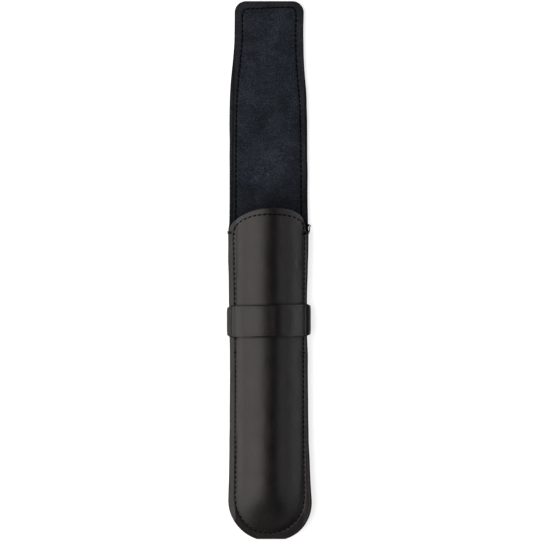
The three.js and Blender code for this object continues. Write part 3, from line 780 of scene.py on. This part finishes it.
def curl(points):
    """A smooth line through a few points."""
    points = np.asarray(points, float)
    at = np.linspace(0, 1, len(points))
    fine = np.linspace(0, 1, 30)
    return np.stack([hermite(fine, at, points[:, k]) for k in range(3)], 1)


def knot(name, x, y, z, node, size=0.75):
    turn = np.linspace(0, 2 * math.pi * 1.6, 40)
    loops = []
    for lean, radius in ((0.0, 0.55), (1.2, 0.45), (2.3, 0.5)):
        a = np.cos(turn + lean) * radius * size
        b = np.sin(turn + lean) * radius * size * 0.8
        lift = 0.12 + 0.22 * np.sin(turn * 0.6 + lean) ** 2
        c, s = math.cos(lean), math.sin(lean)
        loops.append(np.stack([x + a * c - b * s, y + a * s + b * c, z + lift], 1))
    piece = tubes(name, np.array(loops), np.full(40, 0.27 * size), THREAD, squash=0.9)
    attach(piece, "pocket")
    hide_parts(node)


def add_trim():
    for word, hand in (("left", -1), ("right", 1)):
        x, y = float(seam_x(hand, np.array(17.8))), MOUTH_KNOT_Y
        knot(f"mouth_knot_{word}_wound", x, y, float(front_face(x, y)) - 0.2, f"mouth_knot_{word}")
        x, y = float(seam_x(hand, np.array(STRAP_KNOT_Y))), STRAP_KNOT_Y
        size = 0.95 if hand < 0 else 0.7
        knot(f"strap_knot_{word}_wound", x, y, float(front_face(x, y)) - 0.2, f"strap_knot_{word}", size)
        edge = float(edge_x(hand, TACK_Y))
        top = float(front_face(edge - hand, TACK_Y)) + 0.05
        wraps = []
        for shift in (-0.35, 0.3):
            wraps.append(curl([
                (edge - hand * 2.3, 18.6 + shift, top - 0.35),
                (edge - hand * 1.6, 18.65 + shift, top + 0.12),
                (edge - hand * 0.5, 18.75 + shift, top + 0.05),
                (edge + hand * 0.28, TACK_Y + shift, top - 0.75),
                (edge + hand * 0.3, TACK_Y + shift, 1.6),
                (edge - hand * 0.05, TACK_Y + shift, 0.35)]))
        piece = tubes(f"corner_tack_{word}_wound", np.array(wraps), np.full(30, 0.24), THREAD)
        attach(piece, "pocket")
        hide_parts(f"corner_tack_{word}")
    loop = curl([(19.3, 18.8, 4.0), (20.1, 19.6, 3.6), (20.2, 20.8, 3.1),
                 (19.8, 22.0, 2.9), (19.0, 22.9, 2.7)])
    tail = curl([(18.6, 23.2, 2.5), (19.1, 22.9, 2.9), (19.7, 22.7, 2.9),
                 (20.3, 22.4, 2.5), (20.8, 21.8, 1.9)])
    end = tubes("thread_end", np.array([loop, tail]), np.linspace(0.30, 0.24, 30), THREAD)
    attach(end, "pocket")


# ---- stage -------------------------------------------------------------------------------------------

def area_light(name, place, size, power, colour):
    """A softbox that faces the middle of the case."""
    light = bpy.data.lights.new(name, "AREA")
    light.shape = "RECTANGLE"
    light.size, light.size_y = size
    light.energy = power
    light.color = colour
    obj = bpy.data.objects.new(name, light)
    obj.location = place
    obj.rotation_euler = (Vector((0, 0, 0.005)) - Vector(place)).to_track_quat("-Z", "Y").to_euler()
    bpy.context.scene.collection.objects.link(obj)


def add_stage():
    mesh = bpy.data.meshes.new("floor")
    half, level = 4.0, -0.0002  # just below the case, so that the two don't share a plane
    mesh.from_pydata([(-half, -half, level), (half, -half, level), (half, half, level), (-half, half, level)],
                     [], [(0, 1, 2, 3)])
    n = Nodes("floor")
    grain = n.noise(n.add("TexCoord").outputs["Object"], 60, 2)
    n.set(Base_Color=n.mix(grain, rgb(0.86, 0.86, 0.86), rgb(0.9, 0.9, 0.9)), Roughness=0.9)
    n.shader.inputs["Emission Color"].default_value = rgb(1, 1, 1)
    n.shader.inputs["Emission Strength"].default_value = 0.74
    mesh.materials.append(n.material)
    floor = bpy.data.objects.new("floor", mesh)
    bpy.context.scene.collection.objects.link(floor)

    world = bpy.data.worlds.new("world")
    bpy.context.scene.world = world
    world.use_nodes = True
    world.node_tree.nodes["Background"].inputs["Color"].default_value = rgb(1, 1, 1)
    world.node_tree.nodes["Background"].inputs["Strength"].default_value = 0.03
    area_light("left_softbox", (-0.80, 0.0, 0.67), (1.9, 1.42), 15.6, (1.0, 0.932, 0.915))
    area_light("right_softbox", (0.86, 0.0, 0.55), (1.3, 0.55), 1.65, (0.97, 0.93, 0.98))

    camera = bpy.data.cameras.new("camera")
    camera.lens, camera.sensor_width = 293.0, 36.0
    camera.clip_end = 20
    obj = bpy.data.objects.new("camera", camera)
    obj.location = (0.0005, 0.0, 2.2)
    bpy.context.scene.collection.objects.link(obj)
    bpy.context.scene.camera = obj
    bpy.context.scene.view_settings.view_transform = "Standard"


add_stage()
add_front()
add_front_stitches()
for strip_number in range(FOLD_COUNT):
    add_strip(strip_number)
    add_strip_stitches(strip_number)
add_strap()
add_trim()
